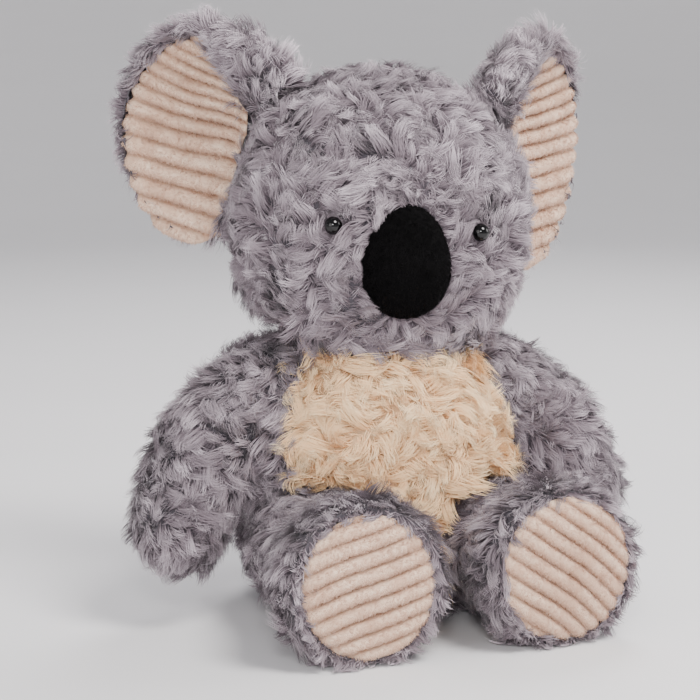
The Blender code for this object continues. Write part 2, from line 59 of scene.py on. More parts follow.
def nodeArrays(names):
    # points and triangles of several frame nodes together
    points, triangles, count = [], [], 0
    for name in names:
        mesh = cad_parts[name].data
        mesh.calc_loop_triangles()
        t = np.empty(len(mesh.loop_triangles) * 3, dtype=np.int32)
        mesh.loop_triangles.foreach_get("vertices", t)
        points.append(pointsOf(mesh))
        triangles.append(t.reshape(-1, 3) + count)
        count += len(mesh.vertices)
    return np.concatenate(points), np.concatenate(triangles)


def newPiece(name, points, faces, body):
    mesh = bpy.data.meshes.new(name)
    mesh.from_pydata(np.asarray(points).tolist(), [], [list(map(int, f)) for f in faces])
    mesh.update()
    mesh.shade_smooth()
    piece = newObject(name, mesh)
    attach(piece, body)
    return piece


def finishPiece(piece, finish, node):
    # the material, what the piece is made of, and the frame's solid that it stands for
    piece.data.materials.append(finish)
    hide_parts(node)


def unit(vectors):
    return vectors / np.maximum(np.linalg.norm(vectors, axis=-1, keepdims=True), 1e-12)


def pointNormals(points, quads):
    # area-weighted normals of a quad mesh
    a, b, c, d = (points[quads[:, k]] for k in range(4))
    face = np.cross(c - a, d - b)
    normals = np.zeros_like(points)
    for k in range(4):
        np.add.at(normals, quads[:, k], face)
    return unit(normals)


def relaxed(points, quads, rounds):
    # even out facets, pulling each point toward its neighbours and back by turns
    edges = np.concatenate([quads[:, [k, (k + 1) % 4]] for k in range(4)])
    count = np.zeros(len(points))
    np.add.at(count, edges[:, 0], 1)
    np.add.at(count, edges[:, 1], 1)
    for turn in range(rounds):
        for share in (0.55, -0.56):  # in, then a little more out, so that nothing shrinks
            total = np.zeros_like(points)
            np.add.at(total, edges[:, 0], points[edges[:, 1]])
            np.add.at(total, edges[:, 1], points[edges[:, 0]])
            points = points + share * (total / count[:, None] - points)
    return points


def stuffedForm(names, voxel, rounds):
    # one closed outer surface round a skin and what fills it
    points, triangles = nodeArrays(names)
    mesh = bpy.data.meshes.new("rough")
    mesh.from_pydata(points.tolist(), [], triangles.tolist())
    rough = newObject("rough", mesh)
    remesh = rough.modifiers.new("voxels", "REMESH")
    remesh.mode = "VOXEL"
    remesh.voxel_size = voxel
    made = rough.evaluated_get(bpy.context.evaluated_depsgraph_get()).to_mesh()
    p = pointsOf(made)
    loops = np.empty(len(made.loops), dtype=np.int64)
    made.loops.foreach_get("vertex_index", loops)
    quads = loops.reshape(-1, 4)
    bpy.data.objects.remove(rough, do_unlink=True)
    # keep the largest shell
    label = np.arange(len(p))
    while True:
        low = label[quads].min(axis=1)
        fresh = label.copy()
        for k in range(4):
            np.minimum.at(fresh, quads[:, k], low)
        fresh = fresh[fresh]
        if (fresh == label).all():
            break
        label = fresh
    sizes = {value: np.ptp(p[label == value], axis=0).prod() for value in np.unique(label)}
    keep = label == max(sizes, key=sizes.get)
    index = np.cumsum(keep) - 1
    quads = index[quads[keep[quads].all(axis=1)]]
    p = relaxed(p[keep], quads, rounds)
    return {"points": p, "quads": quads, "normals": pointNormals(p, quads)}


def surfaceTree(form):
    return BVHTree.FromPolygons(form["points"].tolist(), form["quads"].tolist())


clearLimit = 0.008  # past this a neighbour is far enough away


def clearance(points, trees):
    # how far points stand outside the nearest other form, up to the limit; below zero inside
    far = np.full(len(points), clearLimit)
    for k, point in enumerate(points):
        for tree in trees:
            near, normal = tree.find_nearest(Vector(point), clearLimit)[:2]
            if near is not None:
                far[k] = min(far[k], (Vector(point) - near).dot(normal))
    return far


def noiseAt(points, scale, offset):
    shift = Vector(offset)
    return np.array([noise.noise(Vector(p) * scale + shift) for p in points])


def newMaterial(name):
    material = bpy.data.materials.new(name)
    material.use_nodes = True
    tree = material.node_tree
    return material, tree, tree.nodes["Principled BSDF"]


def addNode(tree, kind, **values):
    node = tree.nodes.new(kind)
    for key, value in values.items():
        if hasattr(node, key):
            setattr(node, key, value)
        else:
            node.inputs[key.replace("_", " ")].default_value = value
    return node


def addRamp(tree, source, stops):
    ramp = addNode(tree, "ShaderNodeValToRGB")
    bar = ramp.color_ramp
    bar.elements[0].position, bar.elements[-1].position = stops[0][0], stops[-1][0]
    for place, colour in stops[1:-1]:
        bar.elements.new(place)
    for element, (place, colour) in zip(bar.elements, stops):
        element.color = (*colour, 1)
    tree.links.new(source, ramp.inputs["Fac"])
    return ramp.outputs["Color"]


def mixColours(tree, share, first, second, kind="MIX"):
    mix = addNode(tree, "ShaderNodeMix", data_type="RGBA", blend_type=kind)
    for value, socket in ((share, mix.inputs[0]), (first, mix.inputs[6]), (second, mix.inputs[7])):
        if isinstance(value, (int, float)):
            socket.default_value = value
        elif isinstance(value, tuple):
            socket.default_value = (*value, 1)
        else:
            tree.links.new(value, socket)
    return mix.outputs[2]


def setSockets(shader, **values):
    for key, value in values.items():
        shader.inputs[key.replace("_", " ")].default_value = value


def onObject(tree, kind, **values):
    # a texture laid in the piece's own space
    texture = addNode(tree, kind, **values)
    place = addNode(tree, "ShaderNodeTexCoord")
    tree.links.new(place.outputs["Object"], texture.inputs["Vector"])
    return texture


def storedPlace(tree):
    # what a piece's UV holds
    split = addNode(tree, "ShaderNodeSeparateXYZ")
    stored = addNode(tree, "ShaderNodeUVMap", uv_map="OFBake")
    tree.links.new(stored.outputs["UV"], split.inputs[0])
    return split.outputs


def mottled(tree, texture, stops, dark, light):
    return addRamp(tree, texture.outputs["Fac"], tuple(zip(stops, (dark, light))))


def varyRoughness(tree, shader, source, low, high):
    spread = addNode(tree, "ShaderNodeMapRange", To_Min=low, To_Max=high)
    tree.links.new(source, spread.inputs["Value"])
    tree.links.new(spread.outputs["Result"], shader.inputs["Roughness"])


def addBump(tree, shader, source, strength, depth):
    bump = addNode(tree, "ShaderNodeBump", Strength=strength, Distance=depth)
    tree.links.new(source, bump.inputs["Height"])
    tree.links.new(bump.outputs["Normal"], shader.inputs["Normal"])


furLook = {"shadeAt": 0.45, "shineAt": 0.40, "rootRough": 0.95, "tipRough": 0.62,
           "sheenRough": 0.5, "gloss": 0.25}


def furFinish(name, root, dark, light, sheen, gloss=furLook["gloss"]):
    # each strand's UV holds its tone across and its length from root to tip
    material, tree, shader = newMaterial(name)
    stored = storedPlace(tree)
    shade = addRamp(tree, stored["Y"], ((0, root), (furLook["shadeAt"], dark), (1, dark)))
    shine = addRamp(tree, stored["Y"], ((0, root), (furLook["shineAt"], dark), (1, light)))
    tree.links.new(mixColours(tree, stored["X"], shade, shine), shader.inputs["Base Color"])
    varyRoughness(tree, shader, stored["Y"], furLook["rootRough"], furLook["tipRough"])
    setSockets(shader, Sheen_Weight=sheen, Sheen_Roughness=furLook["sheenRough"],
               Specular_IOR_Level=gloss)
    return material


backingLook = {"knit": 900, "patch": 45, "patchAt": (0.3, 0.7), "bump": 0.5,
               "depth": 0.0006, "rough": 0.95, "sheen": 0.2}


def backingFinish(name, dark, light):
    # the knitted backing under the fur, seen only between tufts
    material, tree, shader = newMaterial(name)
    knit = onObject(tree, "ShaderNodeTexVoronoi", Scale=backingLook["knit"])
    patch = onObject(tree, "ShaderNodeTexNoise", Scale=backingLook["patch"], Detail=4)
    colour = mottled(tree, patch, backingLook["patchAt"], dark, light)
    tree.links.new(colour, shader.inputs["Base Color"])
    addBump(tree, shader, knit.outputs["Distance"], backingLook["bump"], backingLook["depth"])
    setSockets(shader, Roughness=backingLook["rough"], Sheen_Weight=backingLook["sheen"])
    return material


velourLook = {
    "pileAt": (0.32, 0.62), "napAt": (0.35, 0.6), "napScale": 1 / 28, "nap": 0.72,
    # painted shade in the rib valleys: where it is darkest, the flanks' darkening, and the crowns
    # left clear
    "valleyAt": 0.10, "flankAt": 0.62, "flank": (0.9, 0.87, 0.85), "crownAt": 0.9,
    "smoother": 0.08, "rougher": 0.1, "bump": 0.45, "depth": 0.0007, "sheenRough": 0.35,
}


def velourFinish(name, dark, light, scale, rough, sheen, sheenTint, gloss, valleyShade=None):
    # a ribbed cloth holds the height of its ribs in its UV, which darkens its valleys with painted
    # shade
    material, tree, shader = newMaterial(name)
    pile = onObject(tree, "ShaderNodeTexNoise", Scale=scale, Detail=6, Roughness=0.65)
    nap = onObject(tree, "ShaderNodeTexNoise", Scale=scale * velourLook["napScale"], Detail=3)
    fine = mottled(tree, pile, velourLook["pileAt"], dark, light)
    brushed = mottled(tree, nap, velourLook["napAt"], dark, light)
    colour = mixColours(tree, velourLook["nap"], fine, brushed)
    # painted shade: the cloth is darker down in the rib valleys, by the rib height in its UV
    if valleyShade:
        shadow = addRamp(tree, storedPlace(tree)["Y"],
                         ((velourLook["valleyAt"], valleyShade),
                          (velourLook["flankAt"], velourLook["flank"]),
                          (velourLook["crownAt"], (1, 1, 1))))
        colour = mixColours(tree, 1.0, colour, shadow, "MULTIPLY")
    tree.links.new(colour, shader.inputs["Base Color"])
    varyRoughness(tree, shader, nap.outputs["Fac"], rough - velourLook["smoother"],
                  rough + velourLook["rougher"])
    addBump(tree, shader, pile.outputs["Fac"], velourLook["bump"], velourLook["depth"])
    setSockets(shader, Specular_IOR_Level=gloss, Sheen_Weight=sheen, Sheen_Tint=(*sheenTint, 1),
               Sheen_Roughness=velourLook["sheenRough"])
    return material


mouldedLook = {"haze": 320, "hazeAt": (0.3, 0.7), "smoothest": 0.7, "roughest": 1.4}


def mouldedFinish(name, dark, light, rough, gloss):
    material, tree, shader = newMaterial(name)
    haze = onObject(tree, "ShaderNodeTexNoise", Scale=mouldedLook["haze"], Detail=5)
    colour = mottled(tree, haze, mouldedLook["hazeAt"], dark, light)
    tree.links.new(colour, shader.inputs["Base Color"])
    varyRoughness(tree, shader, haze.outputs["Fac"], rough * mouldedLook["smoothest"],
                  rough * mouldedLook["roughest"])
    setSockets(shader, Specular_IOR_Level=gloss)
    return material


greyFur = furFinish("greyFur", root=(0.100, 0.078, 0.092), dark=(0.225, 0.181, 0.207),
                    light=(0.850, 0.750, 0.815), sheen=0.25)
creamFur = furFinish("creamFur", root=(0.860, 0.530, 0.280), dark=(1.000, 0.700, 0.405),
                     light=(1.000, 0.855, 0.580), sheen=0.2)
creamPile = furFinish("creamPile", root=(0.650, 0.425, 0.310), dark=(0.650, 0.425, 0.310),
                      light=(0.940, 0.720, 0.565), sheen=0.35)
blackPile = furFinish("blackPile", root=(0.001, 0.001, 0.001), dark=(0.002, 0.0018, 0.002),
                      light=(0.006, 0.0055, 0.006), sheen=0.0, gloss=0.05)
greyBacking = backingFinish("greyBacking", dark=(0.060, 0.052, 0.062),
                            light=(0.120, 0.105, 0.125))
creamBacking = backingFinish("creamBacking", dark=(0.50, 0.32, 0.18), light=(0.62, 0.42, 0.25))
# the colour given for the rib valleys below is painted shade
ribbedVelour = velourFinish("ribbedVelour", dark=(0.68, 0.455, 0.325), light=(0.93, 0.73, 0.57),
                            scale=1500, rough=0.78, sheen=0.4, sheenTint=(1.0, 0.92, 0.84),
                            gloss=0.25, valleyShade=(0.56, 0.43, 0.35))
blackVelour = velourFinish("blackVelour", dark=(0.0015, 0.0014, 0.0015),
                           light=(0.004, 0.0036, 0.004), scale=1600, rough=0.85, sheen=0.04,
                           sheenTint=(0.6, 0.55, 0.6), gloss=0.08)
beadGloss = mouldedFinish("beadGloss", dark=(0.0008, 0.0008, 0.0009),
                          light=(0.0016, 0.0015, 0.0016), rough=0.04, gloss=0.45)
washerPlastic = mouldedFinish("washerPlastic", dark=(0.68, 0.68, 0.66),
                              light=(0.80, 0.80, 0.78), rough=0.45, gloss=0.5)
fibreFinish = backingFinish("fibreFinish", dark=(0.72, 0.72, 0.71), light=(0.90, 0.90, 0.89))
print("finishes made")


strand = {  # what the coats share: how uneven tufts and strands are, and their tones
    "reachSpread": 0.18, "reachLimit": 1.6, "leanSpread": 0.22, "leanLimit": 1.5,
    "curlNoise": 1.6, "curlSpread": 0.5, "curlScale": 0.9, "shortest": 0.72, "longest": 1.14,
    "tone": 0.5, "toneScale": 38, "toneNoise": 0.42, "toneSpread": 0.26, "grain": 0.05,
    "fewestTufts": 8, "steps": 4, "sunk": 0.05, "roll": 0.35, "taper": 0.72,
    "overFloor": 0.0015, "mostFaces": 190000, "edge": 0.02,
    "turnAt": (3.1, 7.7, 1.3), "curlAt": (9.4, 2.2, 5.1), "toneAt": (1.7, 4.4, 8.2),
}


def alongSurface(vectors, normals):
    # vectors less their part along the normals
    return vectors - normals * (vectors * normals).sum(axis=1)[:, None]


def uneven(rng, count, what):
    most = strand[what + "Limit"]
    return 1 + strand[what + "Spread"] * rng.standard_normal(count).clip(-most, most)


def layTufts(rng, points, normals, fur):
    # heading, curl, reach, tone and lean of the tufts, for the strands that stand nearest
    tuftCount = max(strand["fewestTufts"], int(fur["area"] / fur["tuft"] ** 2))
    pick = rng.permutation(len(points))[:tuftCount]
    count = len(pick)
    centres, tuftNormals = points[pick], normals[pick]
    flow = unit(alongSurface(unit(fur["flow"](centres)), tuftNormals))
    turn = fur["swirl"] * noiseAt(centres, fur["swirlScale"], strand["turnAt"])
    turn += fur["ruffle"] * rng.standard_normal(count)
    heading = flow * np.cos(turn)[:, None] + np.cross(tuftNormals, flow) * np.sin(turn)[:, None]
    wave = noiseAt(centres, fur["swirlScale"] * strand["curlScale"], strand["curlAt"])
    curl = fur["curl"] * (wave * strand["curlNoise"]
                          + strand["curlSpread"] * rng.standard_normal(count))
    reach = uneven(rng, count, "reach")
    patch = noiseAt(centres, strand["toneScale"], strand["toneAt"])
    tone = strand["tone"] + strand["toneNoise"] * patch \
        + strand["toneSpread"] * rng.standard_normal(count)
    lean = uneven(rng, count, "lean")
    tree = KDTree(count)
    for k, centre in enumerate(centres):
        tree.insert(centre, k)
    tree.balance()
    owner = np.array([tree.find(p)[1] for p in points])
    return {"centre": centres[owner], "heading": heading[owner], "curl": curl[owner][:, None],
            "reach": reach[owner], "tone": tone[owner], "lean": lean[owner]}


def bentStrands(rng, points, normals, tufts, steps, fur):
    # flat tapered strands that rise, curl and gather into their tuft
    count = len(points)
    ahead = unit(alongSurface(tufts["heading"], normals))
    aside = np.cross(normals, ahead)
    length = fur["length"] * tufts["reach"] * rng.uniform(strand["shortest"],
                                                          strand["longest"], count)
    if "trim" in fur:
        length *= fur["trim"](points)
    gather = alongSurface(tufts["centre"] - points, normals)
    stray = rng.standard_normal((count, 1)) * fur["stray"]
    line = [points - normals * fur["length"] * strand["sunk"]]
    for k in range(steps):
        share = (k + 0.5) / steps
        turned = tufts["curl"] * share + stray
        level = ahead * np.cos(turned) + aside * np.sin(turned)
        rise = (fur["rise"] * (1 - share) * tufts["lean"] + fur["droop"] * share)[:, None]
        step = (level * np.cos(rise) + normals * np.sin(rise)) * (length / steps)[:, None]
        line.append(line[-1] + step + gather * fur["gather"] * (2 * share) / steps)
    start = unit(line[1] - line[0])
    roll = rng.uniform(-strand["roll"], strand["roll"], (count, 1))
    flat = unit(np.cross(start, normals) + 1e-9)
    wide = flat * np.cos(roll) + np.cross(flat, start) * np.sin(roll)
    vertices = np.empty((count, 2 * steps + 1, 3))
    for k in range(steps):
        half = wide * fur["width"] / 2 * (1 - strand["taper"] * k / steps)
        vertices[:, 2 * k] = line[k] - half
        vertices[:, 2 * k + 1] = line[k] + half
    vertices[:, 2 * steps] = line[steps]
    floor = fur.get("floor", -1) + strand["overFloor"] * rng.random(vertices.shape[:2])
    vertices[:, :, 2] = np.maximum(vertices[:, :, 2], floor)
    return vertices


def growFur(name, roots, body, finish, fur):
    # roots are points, normals and the painted shade and light each carries (darker in rib valleys,
    # paler at ear rims); the strands are parted by height into pieces
    rng = np.random.default_rng(fur["seed"])
    points, normals, paintedShadeAndLight = roots
    count, steps = len(points), fur.get("steps", strand["steps"])
    tufts = layTufts(rng, points, normals, fur)
    vertices = bentStrands(rng, points, normals, tufts, steps, fur)
    edge = strand["edge"]
    # a strand's tone: its tuft's tone and grain, plus painted shade in rib valleys and painted
    # light at ear rims
    shade = tufts["tone"] + paintedShadeAndLight + strand["grain"] * rng.standard_normal(count)
    along = np.append(np.repeat(np.arange(steps) / steps, 2), 1.0)
    # faces of one strand: quads up to the last step, then the tip
    pattern = [2 * k + corner for k in range(steps - 1) for corner in (0, 1, 3, 2)]
    pattern = np.array(pattern + [2 * steps - 2, 2 * steps - 1, 2 * steps])
    order = np.argsort(points[:, 2])
    parts = max(1, math.ceil(count / (strand["mostFaces"] // (2 * steps - 1))))
    for part, chosen in enumerate(np.array_split(order, parts)):
        size = len(chosen)
        mesh = bpy.data.meshes.new(name)
        mesh.vertices.add(size * (2 * steps + 1))
        mesh.vertices.foreach_set("co", vertices[chosen].ravel())
        base = np.arange(size)[:, None] * (2 * steps + 1)
        mesh.loops.add(size * len(pattern))
        mesh.loops.foreach_set("vertex_index", (base + pattern).ravel().astype(np.int32))
        mesh.polygons.add(size * steps)
        starts = np.arange(size)[:, None] * len(pattern) + 4 * np.arange(steps)
        mesh.polygons.foreach_set("loop_start", starts.ravel().astype(np.int32))
        mesh.update(calc_edges=True)
        mesh.polygons.foreach_set("use_smooth", np.ones(size * steps, dtype=bool))
        layer = mesh.uv_layers.new(name="OFBake")
        uv = np.empty((size, len(pattern), 2))
        uv[:, :, 0] = shade[chosen][:, None].clip(edge, 1 - edge)
        uv[:, :, 1] = edge + (1 - 2 * edge) * along[pattern]
        layer.data.foreach_set("uv", uv.ravel())
        label = name if parts == 1 else "%s.%d" % (name, part + 1)
        piece = newObject(label, mesh)
        mesh.materials.append(finish)
        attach(piece, body)
    print("  ", name, count, "strands in", parts)


def scatterRoots(form, chosen, density, seed):
    # even random roots over the chosen quads
    rng = np.random.default_rng(seed)
    quads = form["quads"][chosen]
    p = form["points"]
    a, b, c, d = (p[quads[:, k]] for k in range(4))
    area = np.linalg.norm(np.cross(c - a, d - b), axis=1) / 2
    count = int(area.sum() * density)
    pick = rng.choice(len(quads), count, p=area / area.sum())
    u, v = rng.random((2, count, 1))

    def blend(values):
        a, b, c, d = (values[quads[pick, k]] for k in range(4))
        return a * (1 - u) * (1 - v) + b * u * (1 - v) + c * u * v + d * (1 - u) * v

    # the painted shade and light of the form, carried to each root
    paintedShadeAndLight = blend(form["paintedShadeAndLight"][:, None])[:, 0] if "paintedShadeAndLight" in form else 0
    return (blend(p), unit(blend(form["normals"])), paintedShadeAndLight), area.sum()


underCoat = {"share": 0.30, "length": 0.62, "tuft": 0.70, "rise": 1.10, "gather": 0.6,
             "steps": 3, "seed": 500}


def dress(name, body, chosen, finish, slot, fur, **more):
    # a long coat of curled tufts with a shorter one between them
    short = dict(fur, seed=fur["seed"] + underCoat["seed"], steps=underCoat["steps"])
    for size in ("length", "tuft", "rise", "gather"):
        short[size] = fur[size] * underCoat[size]
    for label, coat, share in ((name, fur, 1 - underCoat["share"]),
                               (name + "Under", short, underCoat["share"])):
        roots, area = scatterRoots(backings[body], chosen, fur["density"] * share, coat["seed"])
        growFur(label, roots, body, finish, dict(coat, area=area, **more))


def coverWithPile(name, form, body, finish, pile, seed):
    # a short even pile over a whole form
    everywhere = np.arange(len(form["quads"]))
    roots, area = scatterRoots(form, everywhere, pile["density"], seed)
    growFur(name, roots, body, finish, dict(pile, area=area))


def shrunk(form, depth, rounds=2):
    # the backing lies under the pile
    points = relaxed(form["points"] - form["normals"] * depth, form["quads"], rounds)
    return {"points": points, "quads": form["quads"],
            "normals": pointNormals(points, form["quads"])}


# the sewn forms: the solids in each, its voxels and smoothing, its pile's depth, its fill
sewn = {
    "body": {"nodes": ("body_skin", "belly_panel", "body_filling"), "voxel": 0.0042,
             "rounds": 5, "pile": 0.0070, "fill": 0.8},
    "head": {"nodes": ("head_skin", "head_filling"), "voxel": 0.0042, "rounds": 5,
             "pile": 0.0075, "fill": 0.85},
    "arm": {"nodes": ("arm_skin", "arm_filling"), "voxel": 0.0038, "rounds": 4,
            "pile": 0.0065, "fill": 0.8},
    "leg": {"nodes": ("leg_skin", "leg_filling", "sole"), "voxel": 0.0038, "rounds": 4,
            "pile": 0.0065, "fill": 0.8},
    "ear": {"nodes": ("ear_back", "ear_lining"), "voxel": 0.0030, "rounds": 4,
            "pile": 0.0028, "fill": 0.5},
}
leastPile = 0.12  # the share of its depth that the pile keeps at a seam
seamFur = 0.0070  # how far inside a neighbour fur can still stand
forms = {}
for ending, parts in (("", ("body", "head")), ("_left", ("arm", "leg", "ear")),
                      ("_right", ("arm", "leg", "ear"))):
    for part in parts:
        nodes = [node + ending for node in sewn[part]["nodes"]]
        forms[part + ending] = stuffedForm(nodes, sewn[part]["voxel"], sewn[part]["rounds"])
trees = {name: surfaceTree(form) for name, form in forms.items()}
print("forms made:", {name: len(form["quads"]) for name, form in forms.items()})

backings = {}
for name, form in forms.items():
    # the backing rises to the seams, so no gap opens between neighbours
    others = [tree for other, tree in trees.items() if other != name]
    clear = clearance(form["points"], others)
    depth = sewn[name.split("_")[0]]["pile"] * (clear / clearLimit).clip(leastPile, 1)
    backings[name] = dict(shrunk(form, depth[:, None]), clear=clear)
print("backings made")


def chosenQuads(name, rule):
    # quads of a backing whose middle and normal a rule accepts
    quads = backings[name]["quads"]
    return rule(backings[name]["points"][quads].mean(axis=1),
                unit(backings[name]["normals"][quads].mean(axis=1)))


def openQuads(name, rule=None, inside=seamFur):
    # quads of a backing where fur can stand
    keep = (backings[name]["clear"][backings[name]["quads"]] > -inside).all(axis=1)
    return keep if rule is None else keep & chosenQuads(name, rule)


def partOf(form, keep):
    # only the chosen quads of a form, and the points they use
    used = np.unique(form["quads"][keep])
    index = np.zeros(len(form["points"]), dtype=int)
    index[used] = np.arange(len(used))
    return {"points": form["points"][used], "quads": index[form["quads"][keep]],
            "normals": form["normals"][used]}


def addBacking(name, body, form, node):
    piece = newPiece(name, form["points"], form["quads"], body)
    finishPiece(piece, greyBacking, node)


bodyFur = {
    "length": 0.0175, "width": 0.00064, "tuft": 0.0062, "density": 1.15e6, "seed": 11,
    "rise": 1.08, "droop": -0.14, "gather": 0.66, "swirl": 5.0, "swirlScale": 30,
    "ruffle": 0.34, "curl": 2.6, "stray": 0.12, "floor": 0.0004,
}
bellyFur = dict(bodyFur, length=0.0190, tuft=0.0070, seed=12, swirl=5.4, swirlScale=32,
                curl=2.8, rise=1.12)
belly = {"overlap": 0.0030, "clothLift": 0.0008, "bareBelow": 0.004}


def flowing(direction):
    # a flow that is the same everywhere
    return lambda points: np.tile(direction, (len(points), 1))


downward = flowing((0.0, -0.15, -1.0))
panelTree, skinTree = (BVHTree.FromPolygons(*(array.tolist() for array in nodeArrays([node])))
                       for node in ("belly_panel", "body_skin"))


def onPanel(points, normals):
    # nearer to the belly's panel than to the skin round it
    return np.array([panelTree.find_nearest(Vector(p))[3] < skinTree.find_nearest(Vector(p))[3]
                     for p in points])


def onSkin(points, normals):
    # the rest of the body, but for the seat that it stands on
    return (points[:, 2] > belly["bareBelow"]) & ~onPanel(points, normals)


addBacking("bodyBacking", "body", backings["body"], "body_skin")
cloth = partOf(backings["body"], chosenQuads("body", onPanel))
bellyCloth = newPiece("bellyCloth", cloth["points"] + cloth["normals"] * belly["clothLift"],
                      cloth["quads"], "body")
finishPiece(bellyCloth, creamBacking, "belly_panel")
dress("bellyFur", "body", openQuads("body", onPanel, belly["overlap"]), creamFur, "cream_fur",
      bellyFur, flow=downward)
dress("bodyFur", "body", openQuads("body", onSkin), greyFur, "grey_fur", bodyFur, flow=downward)
print("body dressed")


headFur = dict(bodyFur, density=1.25e6, seed=31, droop=-0.12, swirl=5.2)
def placeOf(piece, across="right"):
    return [np.array(piece[key]) for key in ("middle", across, "up", "face")]


nose = {
    "middle": (-0.00632, -0.08058, 0.23143), "face": (-0.101, -0.99487, 0.00575),
    "right": (0.99243, -0.10115, -0.0697), "up": (0.06993, -0.00134, 0.99755),
    "halfWidth": 0.0282, "halfHeight": 0.0355, "taper": 0.15, "bulge": 0.0125, "sink": 0.010,
    "flank": 0.82, "dome": 1.15, "turns": 72, "rows": 26, "fill": 0.9, "seed": 42,
}
eyes = {
    "left": {"face": (0.04456, -0.07718, 0.24791), "inward": (-0.36056, 0.93236, 0.02652)},
    "right": {"face": (-0.05269, -0.06726, 0.25474), "inward": (0.54054, 0.84051, -0.03677)},
}
faceCoat = {  # where the fur stops at the nose and eyes, and how it shortens toward them
    "noseEdge": 0.92, "eyeEdge": 0.0040, "shortest": 0.42, "eyeReach": 0.016,
    "noseFrom": 0.6, "noseReach": 0.8, "behind": -0.03, "farShare": 9,
    "flowFrom": (0, -0.03, -0.012), "drift": (0, 0.1, -0.15),
}


def noseShare(points):
    # below one inside the nose's outline
    middle, right, up, face = placeOf(nose)
    away = points - middle
    a, b = away @ right / nose["halfWidth"], away @ up / nose["halfHeight"]
    share = np.hypot(a / (1 - nose["taper"] * b.clip(-1, 1)), b)
    return np.where(away @ face > faceCoat["behind"], share, faceCoat["farShare"])


def eyeDistance(points):
    return np.min([np.linalg.norm(points - np.array(eye["face"]), axis=1)
                   for eye in eyes.values()], axis=0)


def onFace(points, normals):
    return (noseShare(points) > faceCoat["noseEdge"]) & (eyeDistance(points) > faceCoat["eyeEdge"])


def fromNose(points):
    # the fur flows away from a point just below and in front of the nose
    away = points - np.array(nose["middle"]) - np.array(faceCoat["flowFrom"])
    return unit(away) + np.array(faceCoat["drift"])


def faceTrim(points):
    # shorter round the eyes and nose
    near = np.minimum(eyeDistance(points) / faceCoat["eyeReach"],
                      (noseShare(points) - faceCoat["noseFrom"]) / faceCoat["noseReach"])
    return faceCoat["shortest"] + (1 - faceCoat["shortest"]) * near.clip(0, 1)


addBacking("headBacking", "head", backings["head"], "head_skin")
dress("headFur", "head", openQuads("head", onFace), greyFur, "grey_fur", headFur, flow=fromNose,
      trim=faceTrim)
print("head dressed")


def facingNormals(points, quads, front):
    normals = pointNormals(points, quads)
    return -normals if (normals @ np.array(front)).sum() < 0 else normals


def domedNose():
    turns, rows = nose["turns"], nose["rows"]
    middle, right, up, face = placeOf(nose)
    points = []
    for row in range(rows):
        turn = math.pi / 2 * row / (rows - 1)
        share = math.cos(turn) ** nose["flank"]
        ahead = -nose["sink"] + (nose["sink"] + nose["bulge"]) * math.sin(turn) ** nose["dome"]
        for k in range(turns):
            t = math.tau * k / turns
            a = nose["halfWidth"] * share * math.cos(t) * (1 - nose["taper"] * math.sin(t))
            b = nose["halfHeight"] * share * math.sin(t)
            points.append(middle + right * a + up * b + face * ahead)
    return np.array(points), ringFaces(rows, turns)


def ringFaces(rows, turns):
    # quads between rings of points
    return [(row * turns + k, row * turns + (k + 1) % turns,
             (row + 1) * turns + (k + 1) % turns, (row + 1) * turns + k)
            for row in range(rows - 1) for k in range(turns)]


points, faces = domedNose()
nosePiece = newPiece("nosePad", points, faces + [tuple(range(nose["turns"]))[::-1]], "head")
finishPiece(nosePiece, blackVelour, "nose")
noseQuads = np.array(faces)
noseForm = {"points": points, "quads": noseQuads,
            "normals": facingNormals(points, noseQuads, nose["face"])}
nosePile = {
    "length": 0.0017, "width": 0.00030, "tuft": 0.0030, "density": 3.2e6, "seed": 41,
    "rise": 0.95, "droop": 0.35, "gather": 0.15, "swirl": 0.6, "swirlScale": 40,
    "ruffle": 0.25, "curl": 0.4, "stray": 0.2, "steps": 2, "flow": downward,
}
coverWithPile("nosePile", noseForm, "head", blackPile, nosePile, nose["seed"])


def lathe(name, profile, start, along, body, around):
    along = Vector(along).normalized()
    across = along.orthogonal().normalized()
    other = along.cross(across)
    start = Vector(start)
    points = []
    for far, radius in profile:
        for k in range(around):
            t = math.tau * k / around
            points.append(start + along * far
                          + (across * math.cos(t) + other * math.sin(t)) * radius)
    faces = ringFaces(len(profile), around)
    faces.append(tuple(range(around))[::-1])
    faces.append(tuple(range(len(points) - around, len(points))))
    return newPiece(name, [tuple(p) for p in points], faces, body)


bead = {  # a dome on a flat base that turns in to its shank
    "radius": 0.0057, "stand": 0.0062, "base": 0.0040, "edge": 0.0009, "edgeShare": 0.94,
    "neck": 0.0012, "neckRadius": 0.003, "shankStart": 0.0013, "shank": 0.0019, "tip": 0.0165,
    "steps": 14, "top": 0.00002, "around": 40,
}
for side in sides:
    base, profile = bead["base"], []
    for k in range(bead["steps"] + 1):
        t = math.pi / 2 * k / bead["steps"]
        profile.append((base - bead["stand"] * math.cos(t),
                        max(bead["top"], bead["radius"] * math.sin(t))))
    profile += [(base + bead["edge"], bead["radius"] * bead["edgeShare"]),
                (base + bead["neck"], bead["neckRadius"]),
                (base + bead["shankStart"], bead["shank"]), (bead["tip"], bead["shank"])]
    piece = lathe("eyeBead_" + side, profile, eyes[side]["face"], eyes[side]["inward"], "head",
                  bead["around"])
    finishPiece(piece, beadGloss, "eye_" + side)
    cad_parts["eye_washer_" + side].material_slots[0].material = washerPlastic
print("nose and eyes made")


ribbed = {  # what both kinds of ribbed pad share
    "spacing": 0.9, "mean": 0.6, "middlePower": 2.4, "tuckPower": 16, "flatPower": 7,
    "scallopPower": 6, "driftScale": (22, 9), "pinchScale": 60, "backShare": 0.93,
    # painted shade and light on the pile: the rib height where it is even, and its strength
    "unshadedRibHeight": 0.72, "paintedShadeAndLight": 0.75, "middleHeight": 0.5, "backHeight": 0.3, "fill": 0.5,
    "pinchSeed": 5, "rimRib": 0.5,
}


